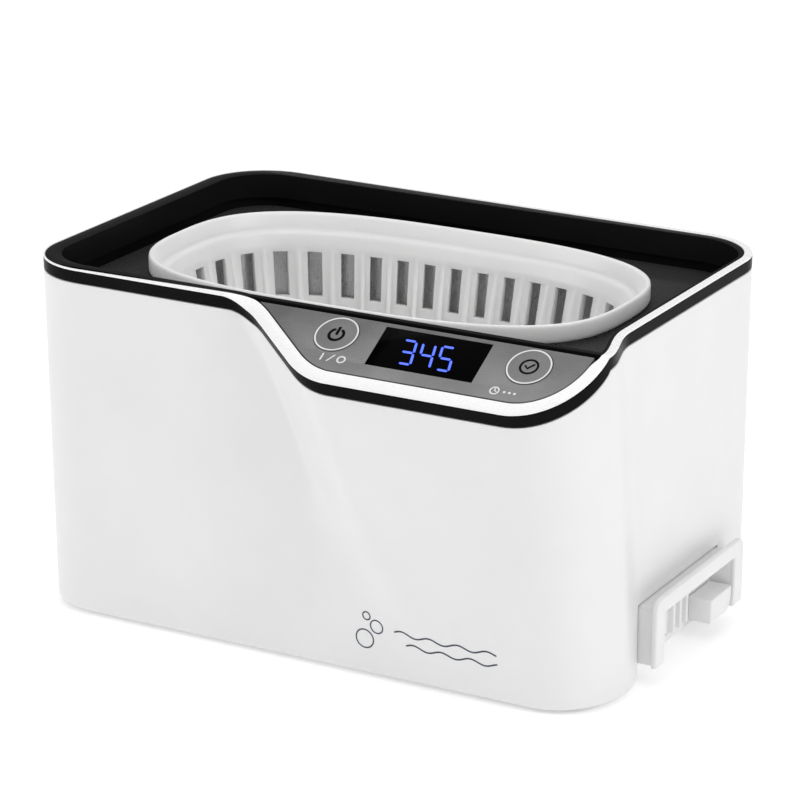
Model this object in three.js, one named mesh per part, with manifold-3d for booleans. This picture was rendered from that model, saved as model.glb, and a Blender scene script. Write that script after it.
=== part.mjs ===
// Tabletop ultrasonic cleaner: moulded casing, steel tank with a lift-out basket, sloping control panel
// and the drive electronics. Millimetres, +Z up, +X to the right along the front, the front faces -Y.
// The finished group's origin is the centre of its footprint, on the surface that the feet stand on.
import * as THREE from "three";
import { mergeVertices } from "three/addons/utils/BufferGeometryUtils.js";
import Module from "manifold-3d";

const wasm = await Module();
wasm.setup();

// ---------------------------------------------------------------- driving dimensions

const GAP = 0.3; // clearance between pieces that touch

// Casing: a drafted rounded rectangle with a pod under the control panel at the front right.
const RIM_Z = 117.5;
const WALL = 2.5;
const LEFT_X = { foot: 99.7, rim: 102 };
const RIGHT_X = { foot: 102.6, rim: 102 };
const DEPTH = { foot: 68.3, rim: 70.6 }; // half depth of the main rectangle
const CORNER_R = { foot: 22, rim: 23.7 };
const POD_DEPTH = { foot: 68.3, rim: 93.3 }; // distance of the pod's front face from the centre
const POD_FLANK_START = { foot: 36, rim: -16.2 };
const POD_FLANK_END = { foot: 37.5, rim: 17.2 };
const POD_BLEND = { foot: 24, rim: 8 }; // half width of the soft bends at the flank's two edges
const POD_CORNER_X = 84;
const POD_CORNER_Y = { foot: -41.7, rim: -68 };
const POD_RIGHT_X = { foot: 105.5, rim: 107.5 };
const POD_EASE_Y = { foot: -28, rim: -42 }; // where the pod's right side has eased into the wall
const RIM_DIP = { start: -26, end: -14 }; // along X, where the rim leaves the level for the panel's plane

const BAND_H = 4.4;
const BAND_T = 2.4;
const TRIM_H = 0.6;
const BAND_TOP = 1.1; // from the rim's top face down to the band's
const TRIM_W = 2.7;
const TRIM_THIN = 0.6; // along the left side, and next to it on the front and the back
const TRIM_PANEL_W = 4;

// Control panel, in its own frame: x to the right, y up the slope, z out of the panel.
const PANEL_TILT = THREE.MathUtils.degToRad(29.3);
const PANEL_TOP_Y = -68;
const PANEL_TOP_GAP = 1.5;
const PANEL_T = 2;
const WINDOW = { x: 52.3, y: -11.1, width: 36, height: 16 };
const MODULE = { y: -12.5, width: 32, height: 12, bottom: -11.2 };
const BUTTONS = { power: { x: 19.9, y: -9.5 }, time: { x: 85.2, y: -9.4 } };
const BUTTON_R = 7.1;
const BUTTON_PROUD = 0.15;
const BOARD_TOP = -11.5;
const BOARD_T = 1.6;

// Recessed top: frame with the tray wall, and the deck round the tank's mouth.
const FRAME_WALL = { front: 2.3, right: 0.9, back: 3 };
const FRAME_FOOT_Z = 103;
const LEDGE_W = 4;
const LEDGE_T = 1.7;
const DECK_Z = 106.5;
const DECK_T = 1.5;
const GROOVE_W = 1.4;

// Wet parts: superellipse ovals given by their half sizes.
const OVAL_POWER = 2.9;
const OVAL_STEPS = 40;
const OVAL_Y = -1.5; // the tank stands a little in front of the casing's middle
const MOUTH = { x: 79.6, y: 46.6 };
const TANK_T = 0.9;
const TANK_FLANGE = 6;
const TANK_FLOOR_Z = 52;
const BASKET_RIM = { x: 83, y: 50, z: 113 };
const BASKET_T = 1.8;
const BASKET_FLOOR_Z = 58;
const SLOTS = { count: 36, width: 5, low: 86, high: 101 };
const FLOOR_SLOTS = { columns: [-48, -32, -16, 0, 16, 32, 48], rowY: 12, halfX: 2, halfY: 8 };

// Transducer under the tank, base and feet.
const BASE_Z = { low: 2, high: 4.5 };
const FOOT_DROP = 1.5;
const FOOT_R = 7;
const FEET = { front_left: [-76, -44], front_right: [82, -44], rear_left: [-76, 44], rear_right: [76, 44] };
const BASE_SCREWS = [[-89, -57.6], [93.6, -57.2], [-89, 57.6], [91.6, 57.4]];
const SCREW_R = 1.3;
const BOSS_R = 6;

// Driver board, left of the transducer.
const DRIVER = { x: -62, y: 0, width: 58, depth: 92, z: 12, thickness: 1.6 };
const DRIVER_TOP = DRIVER.z + DRIVER.thickness + GAP;

// Cord hook on the right side, round a notch that is open to the floor.
const HOOK = { back: 98, neck: 108.2, face: 110, half: 30.5, top: 24.6, wall: 2, foot: 5.4 };
const INLET = { low: 5.2, top: 13.3, near: 11, far: 27.2, corner: 5, holeY: 18.5, holeTop: 11 };
const INLET_R = 2.8; // the cord's inlet opens downwards in the block behind the hook
const HOOK_FLANGE = { low: -32.5, high: 35.3, top: 28, openLow: -26, openHigh: 28.5, openTop: 22.4, corner: 4 };

// ---------------------------------------------------------------- colours and finishes

const finish = (color, roughness, metalness = 0) => new THREE.MeshStandardMaterial({ color, roughness, metalness });

const COLOURS = {
  casing: [0xe6e7e8, 0.35],
  black: [0x161616, 0.2],
  trim: [0xfafafa, 0.3],
  deck: [0x2b2b2c, 0.15],
  panel: [0x77787a, 0.4, 0.6],
  window: [0x050507, 0.08],
  button: [0x808184, 0.4, 0.6],
  basket: [0xe9e9ea, 0.4],
  steel: [0x9a9c9e, 0.3, 1],
  screw: [0xa8a8a8, 0.35, 1],
  aluminium: [0xb8babd, 0.4, 1],
  ceramic: [0xcfc8b8, 0.7],
  silicone: [0xb9bbb8, 0.8],
  rubber: [0x202020, 0.9],
  board: [0x1e5b35, 0.5],
  electronics: [0x24252a, 0.5],
  copper: [0xb06a3a, 0.4, 1],
  film: [0xa63a2a, 0.5],
  sleeve: [0x23324a, 0.45],
};

// ---------------------------------------------------------------- mesh helpers

const { lerp, smoothstep } = THREE.MathUtils;
const between = (range, t) => lerp(range.foot, range.rim, t);

function toSolid(geometry) {
  const bare = new THREE.BufferGeometry();
  bare.setAttribute("position", geometry.getAttribute("position"));
  bare.setIndex(geometry.getIndex());
  const merged = mergeVertices(bare, 1e-4);
  return new wasm.Manifold(
    new wasm.Mesh({
      numProp: 3,
      vertProperties: new Float32Array(merged.getAttribute("position").array),
      triVerts: new Uint32Array(merged.getIndex().array),
    }),
  );
}

function toGeometry(solid) {
  const mesh = solid.getMesh();
  const geometry = new THREE.BufferGeometry();
  geometry.setAttribute("position", new THREE.BufferAttribute(mesh.vertProperties, 3));
  geometry.setIndex(new THREE.BufferAttribute(mesh.triVerts, 1));
  geometry.computeVertexNormals();
  return geometry;
}

// Joins a list of geometries, then cuts another list out of the result.
function combine(joined, cuts = []) {
  let solid = joined.map(toSolid).reduce((all, next) => all.add(next));
  for (const cut of cuts) {
    solid = solid.subtract(toSolid(cut));
  }
  return toGeometry(solid);
}

function box(low, high) {
  const size = high.map((value, axis) => value - low[axis]);
  const centre = high.map((value, axis) => (value + low[axis]) / 2);
  return new THREE.BoxGeometry(...size).translate(...centre);
}

function cylinder(x, y, low, high, radius, topRadius = radius, steps = 16) {
  return new THREE.CylinderGeometry(topRadius, radius, high - low, steps)
    .rotateX(Math.PI / 2)
    .translate(x, y, (low + high) / 2);
}

function prism(shape, low, high, curveSegments = 12) {
  return new THREE.ExtrudeGeometry(shape, { depth: high - low, bevelEnabled: false, curveSegments })
    .translate(0, 0, low);
}

// Side faces between successive loops of points, which all run anticlockwise with the same count.
function sideFaces(loops, closed) {
  const count = loops[0].length;
  const index = [];
  const rows = closed ? loops.length : loops.length - 1;
  for (let row = 0; row < rows; row += 1) {
    const here = row * count;
    const above = ((row + 1) % loops.length) * count;
    for (let i = 0; i < count; i += 1) {
      const next = (i + 1) % count;
      index.push(here + i, here + next, above + next);
      index.push(here + i, above + next, above + i);
    }
  }
  return index;
}

function meshFromLoops(loops, index) {
  const geometry = new THREE.BufferGeometry().setFromPoints(loops.flat());
  geometry.setIndex(index);
  geometry.computeVertexNormals();
  return geometry;
}

// A ring: the loops go up the outside, across and down the inside.
const ringSolid = (loops) => meshFromLoops(loops, sideFaces(loops, true));

// A stack of loops with a flat lid on the first and the last.
function cappedSolid(loops) {
  const index = sideFaces(loops, false);
  const last = (loops.length - 1) * loops[0].length;
  for (const [a, b, c] of THREE.ShapeUtils.triangulateShape(loops[0], [])) {
    index.push(c, b, a);
  }
  for (const [a, b, c] of THREE.ShapeUtils.triangulateShape(loops.at(-1), [])) {
    index.push(last + a, last + b, last + c);
  }
  return meshFromLoops(loops, index);
}

// ---------------------------------------------------------------- casing surface

function arc(centreX, centreY, radiusX, radiusY, fromDegrees, steps) {
  return Array.from({ length: steps + 1 }, (_, i) => {
    const angle = THREE.MathUtils.degToRad(fromDegrees + (90 * i) / steps);
    return new THREE.Vector2(centreX + radiusX * Math.cos(angle), centreY + radiusY * Math.sin(angle));
  });
}

// A straight ramp from 0 to 1 whose two bends are rounded over the half width `bend`.
function softRamp(x, start, end, bend) {
  const half = (value) => Math.max(value, 0) ** 2 / 2;
  const area = half(x - start + bend) - half(x - start - bend) - half(x - end + bend) + half(x - end - bend);
  return area / (2 * bend * (end - start));
}

const FLANK_STEPS = 10;
const POD_FRONT_STEPS = 2;
const EASE_STEPS = 5;
const CORNER_STEPS = 7;

// The casing's outline at a fraction t of its height, anticlockwise from the front left corner.
function outline(t) {
  const left = between(LEFT_X, t);
  const right = between(RIGHT_X, t);
  const depth = between(DEPTH, t);
  const podDepth = between(POD_DEPTH, t);
  const radius = between(CORNER_R, t);
  const start = between(POD_FLANK_START, t);
  const end = between(POD_FLANK_END, t);
  const bend = between(POD_BLEND, smoothstep(t, 0, 0.6));
  const cornerY = between(POD_CORNER_Y, t);
  const podRight = between(POD_RIGHT_X, t);
  const easeY = between(POD_EASE_Y, t);
  const points = arc(radius - left, radius - depth, radius, radius, 180, CORNER_STEPS);
  for (let i = 0; i <= FLANK_STEPS; i += 1) {
    const x = lerp(start - bend, end + bend, i / FLANK_STEPS);
    const drop = (podDepth - depth) * softRamp(x, start, end, bend);
    points.push(new THREE.Vector2(x, -depth - drop));
  }
  for (let i = 1; i < POD_FRONT_STEPS; i += 1) {
    points.push(new THREE.Vector2(lerp(end + bend, POD_CORNER_X, i / POD_FRONT_STEPS), -podDepth));
  }
  points.push(...arc(POD_CORNER_X, cornerY, podRight - POD_CORNER_X, podDepth + cornerY, 270, CORNER_STEPS));
  for (let i = 1; i <= EASE_STEPS; i += 1) {
    const part = i / EASE_STEPS;
    points.push(new THREE.Vector2(lerp(podRight, right, smoothstep(part, 0, 1)), lerp(cornerY, easeY, part)));
  }
  points.push(...arc(right - radius, depth - radius, radius, radius, 0, CORNER_STEPS));
  points.push(...arc(radius - left, depth - radius, radius, radius, 90, CORNER_STEPS));
  return points;
}

// Height of the rim's top face above a point of the plan: level, and down the panel's plane over the pod.
function rimHeight(x, y) {
  const weight = smoothstep(x, RIM_DIP.start, RIM_DIP.end);
  return RIM_Z + Math.tan(PANEL_TILT) * Math.min(0, y - PANEL_TOP_Y) * weight;
}

const rimLoop = outline(1).map((point) => new THREE.Vector3(point.x, point.y, rimHeight(point.x, point.y)));

function neighbours(loop, i) {
  return [loop.at(i - 1), loop[i], loop[(i + 1) % loop.length]];
}

// The band keeps its width across the slope, so it is a little taller where the rim runs downhill.
function bandDrop(i) {
  const [before, , after] = neighbours(rimLoop, i);
  const run = Math.hypot(after.x - before.x, after.y - before.y);
  return (BAND_H * before.distanceTo(after)) / run;
}

// A point of the casing's surface at station i, moved inwards in plan by `inset`.
function casingPoint(i, height, inset) {
  const [before, here, after] = neighbours(outline(height / rimLoop[i].z), i);
  const along = after.clone().sub(before).normalize();
  return new THREE.Vector3(here.x - along.y * inset, here.y + along.x * inset, height);
}

function casingLoop(heightAt, inset) {
  return rimLoop.map((rim, i) => casingPoint(i, heightAt(rim, i), inset));
}

// A loop on the rim's top face, or `drop` below it, `insetAt` inwards from the outer edge.
function rimTopLoop(drop, insetAt) {
  return rimLoop.map((rim, i) => {
    const point = casingPoint(i, rim.z, insetAt(rim));
    point.z = rimHeight(point.x, point.y) - drop;
    return point;
  });
}

// Full round the panel and the right side, thinning out along the front and the back towards the left.
function trimWidth(rim) {
  const full = rim.y < 0 ? smoothstep(rim.x, -92, -25) : smoothstep(rim.x, 40, 84);
  return lerp(lerp(TRIM_THIN, TRIM_W, full), TRIM_PANEL_W, smoothstep(RIM_Z - rim.z, 0, 3));
}

// ---------------------------------------------------------------- casing pieces

const SHELL_LEVELS = [0, 0.2, 0.42, 0.64, 0.84, 1];

function bodyShell() {
  const topOf = (rim, i) => rim.z - bandDrop(i) - GAP;
  const loops = [];
  for (const level of SHELL_LEVELS) {
    loops.push(casingLoop((rim, i) => level * topOf(rim, i), 0));
  }
  for (const level of [...SHELL_LEVELS].reverse()) {
    loops.push(casingLoop((rim, i) => level * topOf(rim, i), WALL));
  }
  const bosses = BASE_SCREWS.map(([x, y]) => cylinder(x, y, BASE_Z.high + GAP, 26, BOSS_R));
  const bores = BASE_SCREWS.map(([x, y]) => cylinder(x, y, 0, 20, SCREW_R + GAP));
  const notch = box([HOOK.back - 4, -HOOK.half - GAP, -5], [HOOK.face + 5, HOOK.half + GAP, HOOK.top + GAP]);
  return combine([ringSolid(loops), ...bosses], [notch, ...bores]);
}

function accentBand() {
  const low = (rim, i) => rim.z - bandDrop(i);
  const loops = [
    casingLoop(low, 0),
    rimTopLoop(BAND_TOP, () => 0),
    rimTopLoop(BAND_TOP, () => BAND_T),
    casingLoop(low, BAND_T),
  ];
  return ringSolid(loops);
}

function rimTrim() {
  return ringSolid([
    rimTopLoop(TRIM_H, () => 0),
    rimTopLoop(0, () => 0),
    rimTopLoop(0, trimWidth),
    rimTopLoop(TRIM_H, trimWidth),
  ]);
}

// The part of a closed loop of plan points on the +Y side of a line y = level (side 1), or on its -Y side (-1).
function clip(points, level, side) {
  const kept = [];
  points.forEach((point, i) => {
    const next = points[(i + 1) % points.length];
    const isInside = side * (point.y - level) > 0;
    const nextInside = side * (next.y - level) > 0;
    if (isInside) {
      kept.push(new THREE.Vector2(point.x, point.y));
    }
    if (isInside !== nextInside) {
      const part = (level - point.y) / (next.y - point.y);
      kept.push(new THREE.Vector2(lerp(point.x, next.x, part), level));
    }
  });
  return kept;
}

// The frame's wall is thin on the right and thick at the back and the left.
function frameWall(rim) {
  const thick = rim.x > 0 ? smoothstep(rim.y, 46, DEPTH.rim) : 1;
  return lerp(FRAME_WALL.right, FRAME_WALL.back, thick);
}

// The tray's outline, `inset` inwards from the inner face of the frame's wall.
function trayOutline(inset) {
  const loop = rimTopLoop(0, (rim) => TRIM_W + GAP + frameWall(rim) + inset);
  return clip(loop, PANEL_TOP_Y + GAP + FRAME_WALL.front + inset, 1);
}

function plateWithHole(outer, hole, low, high) {
  const shape = new THREE.Shape(outer);
  shape.holes.push(new THREE.Path(hole));
  return prism(shape, low, high);
}

// Where the trim is thin, the frame's lip reaches out over the top of the band.
function topFrame() {
  const lip = clip(rimTopLoop(0, (rim) => trimWidth(rim) + GAP), PANEL_TOP_Y + GAP, 1);
  const wall = clip(rimTopLoop(0, (rim) => Math.max(trimWidth(rim), TRIM_W) + GAP), PANEL_TOP_Y + GAP, 1);
  return combine([
    plateWithHole(lip, trayOutline(0), RIM_Z - BAND_TOP + GAP, RIM_Z - GAP),
    plateWithHole(wall, trayOutline(0), FRAME_FOOT_Z, RIM_Z - GAP),
    plateWithHole(trayOutline(-0.5), trayOutline(LEDGE_W), FRAME_FOOT_Z, FRAME_FOOT_Z + LEDGE_T),
  ]);
}

function ovalPoints(halfX, halfY) {
  return Array.from({ length: OVAL_STEPS }, (_, i) => {
    const angle = (2 * Math.PI * i) / OVAL_STEPS;
    const reach = (value) => Math.sign(value) * Math.abs(value) ** (2 / OVAL_POWER);
    return new THREE.Vector2(halfX * reach(Math.cos(angle)), OVAL_Y + halfY * reach(Math.sin(angle)));
  });
}

const ovalLoop = (halfX, halfY, z) => ovalPoints(halfX, halfY).map((p) => new THREE.Vector3(p.x, p.y, z));
const mouthLoop = (inset, z) => ovalLoop(MOUTH.x - inset, MOUTH.y - inset, z);

function deckPlate() {
  return plateWithHole(trayOutline(GROOVE_W), ovalPoints(MOUTH.x, MOUTH.y), DECK_Z - DECK_T, DECK_Z);
}

// ---------------------------------------------------------------- wet parts

const FLANGE_TOP = DECK_Z - DECK_T - 1.6;

function tank() {
  const flangeFoot = FLANGE_TOP - TANK_T;
  return cappedSolid([
    mouthLoop(13, TANK_FLOOR_Z),
    mouthLoop(7, TANK_FLOOR_Z + 2),
    mouthLoop(4, TANK_FLOOR_Z + 8),
    mouthLoop(-TANK_T, flangeFoot),
    mouthLoop(-TANK_FLANGE, flangeFoot),
    mouthLoop(-TANK_FLANGE, FLANGE_TOP),
    mouthLoop(0, FLANGE_TOP),
    mouthLoop(4 + TANK_T, TANK_FLOOR_Z + 8.4),
    mouthLoop(7.5 + TANK_T, TANK_FLOOR_Z + 2.8),
    mouthLoop(13 + TANK_T, TANK_FLOOR_Z + TANK_T),
  ]);
}

function tankSeal() {
  const low = FLANGE_TOP + GAP;
  const high = DECK_Z - DECK_T - GAP;
  return ringSolid([mouthLoop(-5, low), mouthLoop(-5, high), mouthLoop(-1, high), mouthLoop(-1, low)]);
}

// Slot cutters stand square to the basket's wall at equal steps along it.
function slotCutters() {
  const wall = new THREE.CatmullRomCurve3(ovalLoop(BASKET_RIM.x - 9, BASKET_RIM.y - 9, 0), true);
  const height = SLOTS.high - SLOTS.low;
  return Array.from({ length: SLOTS.count }, (_, i) => {
    const part = (i + 0.5) / SLOTS.count;
    const place = wall.getPointAt(part);
    const along = wall.getTangentAt(part);
    return new THREE.BoxGeometry(SLOTS.width, 10, height)
      .rotateZ(Math.atan2(along.y, along.x))
      .translate(place.x, place.y, SLOTS.low + height / 2);
  });
}

function basket() {
  const flange = DECK_Z + GAP;
  const rim = (inset, z) => ovalLoop(BASKET_RIM.x - inset, BASKET_RIM.y - inset, z);
  const shell = cappedSolid([
    rim(15, BASKET_FLOOR_Z),
    rim(12, BASKET_FLOOR_Z + 2.5),
    rim(6.1, flange - 3.6),
    rim(4.4, flange - 1.4),
    rim(4.2, flange),
    rim(0.6, flange),
    rim(0, BASKET_RIM.z - 0.5),
    rim(0.6, BASKET_RIM.z),
    rim(BASKET_T, BASKET_RIM.z),
    rim(3.9, flange + 1),
    rim(5.9, flange + 0.1),
    rim(7.7, flange - 3.6),
    rim(12 + BASKET_T, BASKET_FLOOR_Z + 4),
    rim(15 + BASKET_T, BASKET_FLOOR_Z + BASKET_T),
  ]);
  const { columns, rowY, halfX, halfY } = FLOOR_SLOTS;
  const floorSlots = columns.flatMap((x) =>
    [OVAL_Y - rowY, OVAL_Y + rowY].map((y) =>
      box([x - halfX, y - halfY, BASKET_FLOOR_Z - 2], [x + halfX, y + halfY, BASKET_FLOOR_Z + 4]),
    ),
  );
  return combine([shell], [...slotCutters(), ...floorSlots]);
}

// ---------------------------------------------------------------- control panel pieces

const PANEL_SCREWS = [[30.5, -18.5], [74, -18.5]];
const BOSS_FOOT = BOARD_TOP + GAP;

// The panel's edge follows the inner edge of the trim, in the panel's own plane.
function panelOutline() {
  const slant = Math.cos(PANEL_TILT);
  const edge = rimTopLoop(0, () => TRIM_PANEL_W + GAP);
  return clip(edge, PANEL_TOP_Y - PANEL_TOP_GAP * slant, -1).map((point) => {
    return new THREE.Vector2(point.x, (point.y - PANEL_TOP_Y) / slant);
  });
}

function windowBlock(margin, low, high) {
  const { x, y, width, height } = WINDOW;
  const halfX = width / 2 + margin;
  const halfY = height / 2 + margin;
  return box([x - halfX, y - halfY, low], [x + halfX, y + halfY, high]);
}

function controlPanel() {
  const plate = prism(new THREE.Shape(panelOutline()), -PANEL_T, 0);
  const bosses = PANEL_SCREWS.map(([x, y]) => cylinder(x, y, BOSS_FOOT, -PANEL_T / 2, 2.6));
  const bores = PANEL_SCREWS.map(([x, y]) => cylinder(x, y, BOSS_FOOT - 1, -4, 1.3));
  const buttonHoles = Object.values(BUTTONS).map(({ x, y }) => cylinder(x, y, -5, 5, BUTTON_R + GAP));
  return combine([plate, ...bosses], [windowBlock(GAP, -5, 5), ...buttonHoles, ...bores]);
}

function displayModule() {
  const { y, width, height, bottom } = MODULE;
  const half = width / 2;
  return box([WINDOW.x - half, y - height / 2, bottom], [WINDOW.x + half, y + height / 2, -PANEL_T - GAP]);
}

const SWITCH_TOP = -7.2;

function buttonCap({ x, y }) {
  return combine([
    cylinder(x, y, -PANEL_T - 0.2, BUTTON_PROUD, BUTTON_R),
    cylinder(x, y, -5.7, -PANEL_T, 1.6, 1.6, 16),
  ]);
}

const plunger = ({ x, y }) => cylinder(x, y, -9.4, -6, 1.6, 1.6, 16);

function tactSwitch({ x, y }) {
  const body = box([x - 3, y - 3, BOARD_TOP + GAP], [x + 3, y + 3, SWITCH_TOP]);
  return combine([body], [cylinder(x, y, -10.7, 0, 2, 2, 16)]);
}

function controlBoard() {
  const plate = box([15, -21.5, BOARD_TOP - BOARD_T], [95, -7.6, BOARD_TOP]);
  const corner = box([88, -30, BOARD_TOP - 5], [100, -17.5, 0]);
  return combine([plate], [corner, ...PANEL_SCREWS.map(([x, y]) => cylinder(x, y, -20, 0, 1.5))]);
}

// A screw with its head at the foot and its shank pointing up.
function screw(x, y, headLow, headHigh, tip, headR, shankR) {
  const head = cylinder(x, y, headLow, headHigh, headR, headR, 16);
  const shank = cylinder(x, y, headHigh - 0.2, tip, shankR, shankR, 12);
  const drive = box([x - headR + 1, y - 0.4, headLow - 1], [x + headR - 1, y + 0.4, headLow + 0.6]);
  return combine([head, shank], [drive]);
}

// ---------------------------------------------------------------- base, feet and hook

const STANDOFFS = [-1, 1].flatMap((sideX) =>
  [-1, 1].map((sideY) => [DRIVER.x + sideX * (DRIVER.width / 2 - 5), sideY * (DRIVER.depth / 2 - 5)]),
);
const STANDOFF_BORE = 1.3;

function basePlate() {
  const loopAt = (z) => outline(0).map((_, i) => {
    const point = casingPoint(i, 0, WALL + GAP);
    return point.setZ(z);
  });
  const plate = cappedSolid([loopAt(BASE_Z.low), loopAt(BASE_Z.high)]);
  const posts = STANDOFFS.map(([x, y]) => cylinder(x, y, BASE_Z.low + 0.5, DRIVER.z - GAP, 3.5));
  const postBores = STANDOFFS.map(([x, y]) => cylinder(x, y, BASE_Z.high, 20, STANDOFF_BORE + 0.1));
  const screwHoles = BASE_SCREWS.map(([x, y]) => cylinder(x, y, 0, 10, SCREW_R + 0.4));
  const vents = Array.from({ length: 9 }, (_, i) => {
    const x = 36 + i * 6;
    return box([x - 1.5, -24, 0], [x + 1.5, 24, 10]);
  });
  return combine([plate, ...posts], [...postBores, ...screwHoles, ...vents]);
}

const foot = ([x, y]) => cylinder(x, y, -FOOT_DROP, BASE_Z.low - GAP, FOOT_R - 0.6, FOOT_R);

// Prisms for the hook are drawn in the (Y, Z) plane and run along +X.
function sidePrism(shape, low, high) {
  return prism(shape, 0, high - low, 6)
    .applyMatrix4(new THREE.Matrix4().set(0, 0, 1, 0, 1, 0, 0, 0, 0, 1, 0, 0, 0, 0, 0, 1))
    .translate(low, 0, 0);
}

// An inverted U, from the foot's height up to a top with rounded outer corners.
function archShape(low, high, top, openLow, openHigh, openTop, corner) {
  const shape = new THREE.Shape();
  shape.moveTo(low, HOOK.foot);
  shape.lineTo(openLow, HOOK.foot);
  shape.lineTo(openLow, openTop);
  shape.lineTo(openHigh, openTop);
  shape.lineTo(openHigh, HOOK.foot);
  shape.lineTo(high, HOOK.foot);
  shape.absarc(high - corner, top - corner, corner, 0, Math.PI / 2);
  shape.absarc(low + corner, top - corner, corner, Math.PI / 2, Math.PI);
  shape.closePath();
  return shape;
}

function cordHook() {
  const inner = HOOK.half - HOOK.wall;
  const neck = archShape(-HOOK.half, HOOK.half, HOOK.top, -inner, inner, HOOK.top - HOOK.wall, 2);
  const { low, high, top, openLow, openHigh, openTop, corner } = HOOK_FLANGE;
  const flange = archShape(low, high, top, openLow, openHigh, openTop, corner);
  const backWall = box([HOOK.back, -inner - 0.5, HOOK.foot], [HOOK.back + 3, inner + 0.5, HOOK.top - 1]);
  const ribs = [-4, 1, 6].map((y) => box([HOOK.back + 2, y, HOOK.foot], [HOOK.back + 5, y + 1.6, HOOK.top - 1]));
  return combine([
    sidePrism(neck, HOOK.back, HOOK.neck),
    sidePrism(flange, HOOK.neck - 0.2, HOOK.face),
    backWall,
    ...ribs,
  ]);
}

function inletBlock() {
  const back = HOOK.back + 3 + GAP;
  const body = new THREE.Shape();
  const { low, top, near, far, corner, holeY, holeTop } = INLET;
  body.moveTo(near, low);
  body.absarc(far - corner, low + corner, corner, -Math.PI / 2, 0);
  body.lineTo(far, top);
  body.lineTo(near, top);
  body.closePath();
  const face = HOOK.face - 0.5;
  const bore = cylinder((back + face) / 2, holeY, 0, holeTop, INLET_R);
  return combine([sidePrism(body, back, face)], [bore]);
}

// ---------------------------------------------------------------- transducer and electronics

const STACK = { front: 15, ring: 5, back: 12, bolt: 4 };
const FRONT_FOOT = TANK_FLOOR_Z - GAP - STACK.front;
const UPPER_RING_FOOT = FRONT_FOOT - GAP - STACK.ring;
const LOWER_RING_FOOT = UPPER_RING_FOOT - GAP - STACK.ring;
const BACK_FOOT = LOWER_RING_FOOT - GAP - STACK.back;

function drilledDisc(low, high, radius, topRadius, boreTop = high + 1) {
  return combine(
    [cylinder(0, OVAL_Y, low, high, radius, topRadius, 32)],
    [cylinder(0, OVAL_Y, low - 1, boreTop, STACK.bolt + GAP, STACK.bolt + GAP, 16)],
  );
}

function transducerBolt() {
  const head = BACK_FOOT - GAP;
  return combine([
    cylinder(0, OVAL_Y, head - 4, head, 6.5, 6.5, 6),
    cylinder(0, OVAL_Y, head - 0.5, FRONT_FOOT + 8, STACK.bolt, STACK.bolt, 16),
  ]);
}

function driverBoard() {
  const { x, y, width, depth, z, thickness } = DRIVER;
  const plate = box([x - width / 2, y - depth / 2, z], [x + width / 2, y + depth / 2, z + thickness]);
  return combine([plate], STANDOFFS.map(([px, py]) => cylinder(px, py, 0, 30, STANDOFF_BORE + 0.3)));
}

function transformer() {
  return combine([
    box([-84, -34, DRIVER_TOP], [-56, -8, DRIVER_TOP + 6]),
    box([-80, -34, DRIVER_TOP + 5], [-60, -8, DRIVER_TOP + 24]),
    box([-84, -34, DRIVER_TOP + 20], [-56, -8, DRIVER_TOP + 26]),
  ]);
}

function choke() {
  return new THREE.TorusGeometry(8, 3.6, 8, 16).translate(-74, 8, DRIVER_TOP + 3.6);
}

function heatSink() {
  const base = box([-52, -24, DRIVER_TOP], [-48, 24, DRIVER_TOP + 26]);
  const fins = Array.from({ length: 7 }, (_, i) => {
    const y = -23 + i * 7.4;
    return box([-48.5, y, DRIVER_TOP], [-40, y + 1.5, DRIVER_TOP + 26]);
  });
  return combine([base, ...fins]);
}

function boardScrew(x, y) {
  const head = cylinder(x, y, DRIVER_TOP, DRIVER_TOP + 1.8, 2.8, 2.8, 16);
  return combine([head, cylinder(x, y, 6, DRIVER_TOP + 0.2, 1.1, 1.1, 12)]);
}

// ---------------------------------------------------------------- assembly

const assembly = new THREE.Group();
const panelFrame = new THREE.Group();
panelFrame.position.set(0, PANEL_TOP_Y, RIM_Z);
panelFrame.rotation.x = PANEL_TILT;
assembly.add(panelFrame);

function add(name, geometry, colour, parent = assembly) {
  const mesh = new THREE.Mesh(geometry, finish(...COLOURS[colour]));
  mesh.name = name;
  parent.add(mesh);
}

// Identical fasteners are numbered from 1.
function addEach(name, places, make, parent) {
  places.forEach(([x, y], i) => add(`${name}_${i + 1}`, make(x, y), "screw", parent));
}

add("body_shell", bodyShell(), "casing");
add("accent_band", accentBand(), "black");
add("rim_trim", rimTrim(), "trim");
add("top_frame", topFrame(), "black");
add("deck_plate", deckPlate(), "deck");
add("tank", tank(), "steel");
add("tank_seal", tankSeal(), "silicone");
add("basket", basket(), "basket");

add("control_panel", controlPanel(), "panel", panelFrame);
add("display_window", windowBlock(0, -PANEL_T + GAP, 0), "window", panelFrame);
add("display_module", displayModule(), "electronics", panelFrame);
for (const [name, place] of Object.entries(BUTTONS)) {
  add(`${name}_button`, buttonCap(place), "button", panelFrame);
  add(`${name}_plunger`, plunger(place), "electronics", panelFrame);
  add(`${name}_switch`, tactSwitch(place), "electronics", panelFrame);
}
add("control_board", controlBoard(), "board", panelFrame);
const boardFoot = BOARD_TOP - BOARD_T - GAP;
addEach("panel_screw", PANEL_SCREWS, (x, y) => screw(x, y, boardFoot - 1.6, boardFoot, -6, 2.4, 1), panelFrame);

add("base_plate", basePlate(), "casing");
addEach("base_screw", BASE_SCREWS, (x, y) => screw(x, y, 0.1, BASE_Z.low - GAP, 17, 3.2, SCREW_R));
for (const [name, place] of Object.entries(FEET)) {
  add(`foot_${name}`, foot(place), "rubber");
}
add("cord_hook", cordHook(), "casing");
add("inlet_block", inletBlock(), "casing");

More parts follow.
